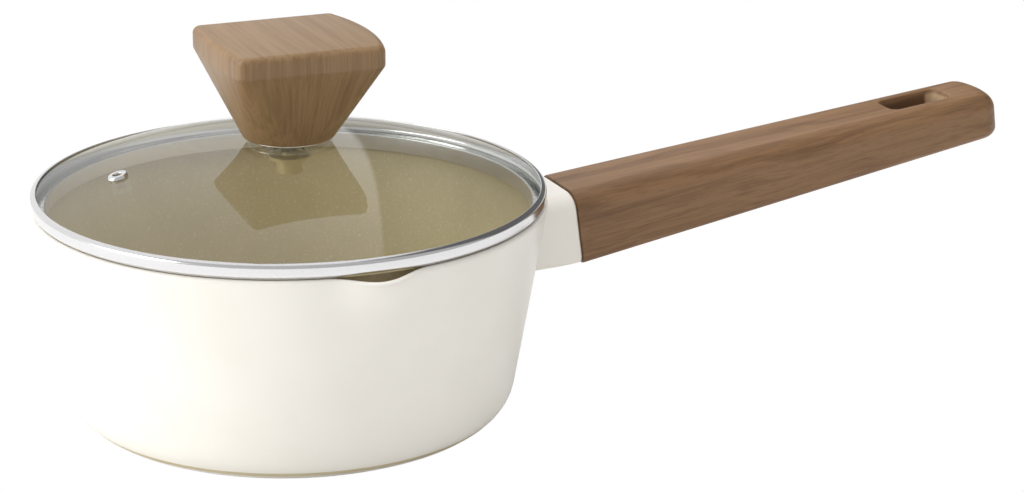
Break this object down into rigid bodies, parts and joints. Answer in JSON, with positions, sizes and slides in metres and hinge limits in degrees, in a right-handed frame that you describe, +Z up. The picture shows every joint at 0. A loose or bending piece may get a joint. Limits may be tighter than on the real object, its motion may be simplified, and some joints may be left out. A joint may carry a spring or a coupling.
{
  "type": "saucepan with glass lid",
  "caption": "Cream saucepan with pouring lips, a wood-look side handle with a hanging slot, and a steel-rimmed domed glass lid with a wood-look knob and steam vent.",
  "frame": {"origin": "centre of the base, on the surface the pan stands on", "axes": "+Z up, +X towards the tip of the handle, the two pouring lips at -Y and +Y"},
  "size_m": [0.3463, 0.1724, 0.1258],
  "materials": {
    "cream_coating": "satin cream outside, speckled olive non-stick inside",
    "base_steel": "fine circular brush",
    "cast_aluminium": "as cast",
    "handle_wood": "satin walnut tone, grain along the handle",
    "fastener_steel": "plain",
    "clear_glass": "polished",
    "polished_steel": "polished",
    "knob_wood": "satin beech tone",
    "insert_brass": "plain",
    "seal_silicone": "translucent grey"
  },
  "bodies": {
    "pan": {"pan_body": "cream_coating", "induction_base_plate": "base_steel", "handle_weld_stud": "cast_aluminium", "flame_guard": "cream_coating", "handle_grip": "handle_wood", "handle_screw": "fastener_steel", "handle_flat_washer": "fastener_steel", "handle_spring_washer": "fastener_steel"},
    "lid": {"lid_glass": "clear_glass", "lid_rim_band": "polished_steel", "steam_vent_grommet": "polished_steel", "lid_knob": "knob_wood", "knob_insert": "insert_brass", "knob_base_ring": "polished_steel", "knob_upper_gasket": "seal_silicone", "knob_lower_gasket": "seal_silicone", "knob_lower_washer": "fastener_steel", "knob_spring_washer": "fastener_steel", "knob_screw": "fastener_steel"}
  },
  "joints": [
    {"name": "lid_lift", "type": "slide", "parent": "pan", "child": "lid", "axis": [0, 0, 1], "range_m": [0, 0.1]}
  ]
}
